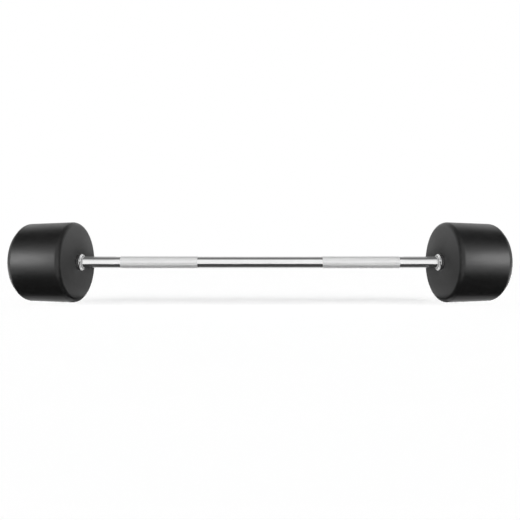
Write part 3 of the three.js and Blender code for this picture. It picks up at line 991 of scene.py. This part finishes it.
def make_card(name, places_x, places_y, z, brightness, turn=0, receivers=()):
    """A card that lies flat between two places along the bar and two across it, turned about its middle."""
    bpy.ops.object.select_all(action="DESELECT")
    middle = (sum(places_x) / 2, sum(places_y) / 2, z)
    bpy.ops.mesh.primitive_plane_add(size=1, location=middle, rotation=(0, 0, turn))
    card = bpy.context.object
    card.scale = (abs(places_x[1] - places_x[0]), places_y[1] - places_y[0], 1)
    bpy.ops.object.transform_apply(location=True, rotation=True, scale=True)
    stage_board(card, name, [make_glow(name, brightness)], receivers)


def make_flag(name, x, places_y, places_z, brightness, receivers=()):
    """A card that stands across the bar's direction."""
    bpy.ops.object.select_all(action="DESELECT")
    middle = (x, sum(places_y) / 2, sum(places_z) / 2)
    bpy.ops.mesh.primitive_plane_add(size=1, location=middle, rotation=(0, QUARTER_TURN, 0))
    flag = bpy.context.object
    flag.scale = (places_z[1] - places_z[0], places_y[1] - places_y[0], 1)
    bpy.ops.object.transform_apply(location=True, rotation=True, scale=True)
    stage_board(flag, name, [make_glow(name, brightness)], receivers)


def make_shadow_rod():
    """A rod in the bar's place between the heads, kept for the lamps' shadow only."""
    bpy.ops.object.select_all(action="DESELECT")
    bpy.ops.mesh.primitive_cylinder_add(
        vertices=ROUND_BOARD_SIDES, radius=BAR_RADIUS, depth=2 * INNER_FACE_X, rotation=(0, QUARTER_TURN, 0)
    )
    rod = bpy.context.object
    rod.name = rod.data.name = "shadow_rod"
    bpy.ops.object.transform_apply(location=True, rotation=True, scale=True)
    for ray in RAYS_WITHOUT_ROD:
        setattr(rod, f"visible_{ray}", False)
    return rod


# The wall's dim glow is a painted reflection of dark surroundings behind the object
def make_wall():
    """A low round wall behind the object."""
    bpy.ops.object.select_all(action="DESELECT")
    bpy.ops.mesh.primitive_cylinder_add(
        vertices=ROUND_BOARD_SIDES,
        radius=WALL_DISTANCE,
        depth=WALL_TOP_Z - BOARD_Z,
        end_fill_type="NOTHING",
        location=(0, 0, (BOARD_Z + WALL_TOP_Z) / 2),
    )
    wall = bpy.context.object
    bpy.ops.object.transform_apply(location=True, rotation=True, scale=True)
    bpy.ops.object.mode_set(mode="EDIT")
    bpy.ops.mesh.select_mode(type="FACE")
    mesh = bmesh.from_edit_mesh(wall.data)
    for face in mesh.faces:
        place = face.calc_center_median()
        face.select_set(place.y < 0 or abs(place.x) > WALL_END_X)
    bmesh.update_edit_mesh(wall.data)
    bpy.ops.mesh.delete(type="FACE")
    bpy.ops.object.mode_set(mode="OBJECT")
    stage_board(wall, "back_wall", [make_glow("back_wall", WALL_BRIGHTNESS)])


# Its glowing sectors are painted reflections
def make_screen(name, x, radii, sectors, receivers):
    """A ring-shaped screen across the bar. Its sectors start at the back and run under the bar, up its
    front and over it. It faces the bar's middle and is clear from behind."""
    inner_radius, outer_radius = radii
    bpy.ops.object.select_all(action="DESELECT")
    bpy.ops.mesh.primitive_circle_add(
        vertices=SCREEN_SIDES, radius=inner_radius, location=(x, 0, 0), rotation=(0, QUARTER_TURN, 0)
    )
    screen = bpy.context.object
    bpy.ops.object.transform_apply(location=True, rotation=True, scale=True)
    bpy.ops.object.mode_set(mode="EDIT")
    bpy.ops.mesh.select_mode(type="EDGE")
    bpy.ops.mesh.select_all(action="SELECT")
    bpy.ops.mesh.extrude_edges_move(TRANSFORM_OT_translate={"value": (0, 0, 0)})
    share = outer_radius / inner_radius
    bpy.ops.transform.resize(value=(1, share, share), center_override=(x, 0, 0))
    bpy.ops.object.mode_set(mode="OBJECT")
    end_angles, levels = zip(*sectors)
    for face in screen.data.polygons:
        angle = math.degrees(math.atan2(face.center.z, -face.center.y))
        face.material_index = sum(angle >= end_angle for end_angle in end_angles)
        if face.normal.x * x > 0:
            face.flip()
    glows = [make_glow(f"{name}_{i}", level, is_one_sided=True) for i, level in enumerate(levels)]
    stage_board(screen, name, glows, receivers)


# Mirrored in the rubber faces, the bar and the collars would make a dark cone
for piece in (bar, *collars):
    piece.visible_glossy = False

make_world()
make_floor()
shadow_rod = make_shadow_rod()
for name, width, tilt, share in SUNS:
    make_sun(name, width, tilt, share, [shadow_rod])
make_wall()
make_flag("middle_flag", 0, *MIDDLE_FLAG, [bar, *heads])
for name, end_x, places_y, z, brightness, receivers in MIDDLE_CARDS:
    make_card(name, (-end_x, end_x), places_y, z, brightness, receivers=receivers)
for side, sign, head in (("right", 1, heads[0]), ("left", -1, heads[1])):
    for name, places_x, places_y, z, brightness, turn in SIDE_CARDS:
        make_card(f"{name}_{side}", [sign * x for x in places_x], places_y, z, brightness, sign * turn)
    for name, x, radii, sectors, receivers in SCREENS:
        make_screen(f"{name}_{side}", sign * x, radii, sectors, receivers)
    make_flag(f"side_flag_{side}", sign * SIDE_FLAG_X, *SIDE_FLAG)
    for lamps, receivers in ((COLLAR_LIGHTS, collars), (HEAD_LIGHTS, [head])):
        for name, place, target, size, power in lamps:
            place, target = [(sign * x, y, z) for x, y, z in (place, target)]
            make_softbox(f"{name}_{side}", place, target, size, power, receivers)


# Camera, fitted to the outlines of both heads

CAMERA_PLACE = (0, -0.9405, 0.0055)
LENS = 27.21
SENSOR_WIDTH = 36

camera_data = bpy.data.cameras.new("camera")
camera_data.sensor_width = SENSOR_WIDTH
camera_data.lens = LENS
camera = bpy.data.objects.new("camera", camera_data)
bpy.context.scene.collection.objects.link(camera)
camera.location = CAMERA_PLACE
camera.rotation_euler = (QUARTER_TURN, 0, 0)
bpy.context.scene.camera = camera
bpy.context.scene.view_settings.view_transform = "Standard"
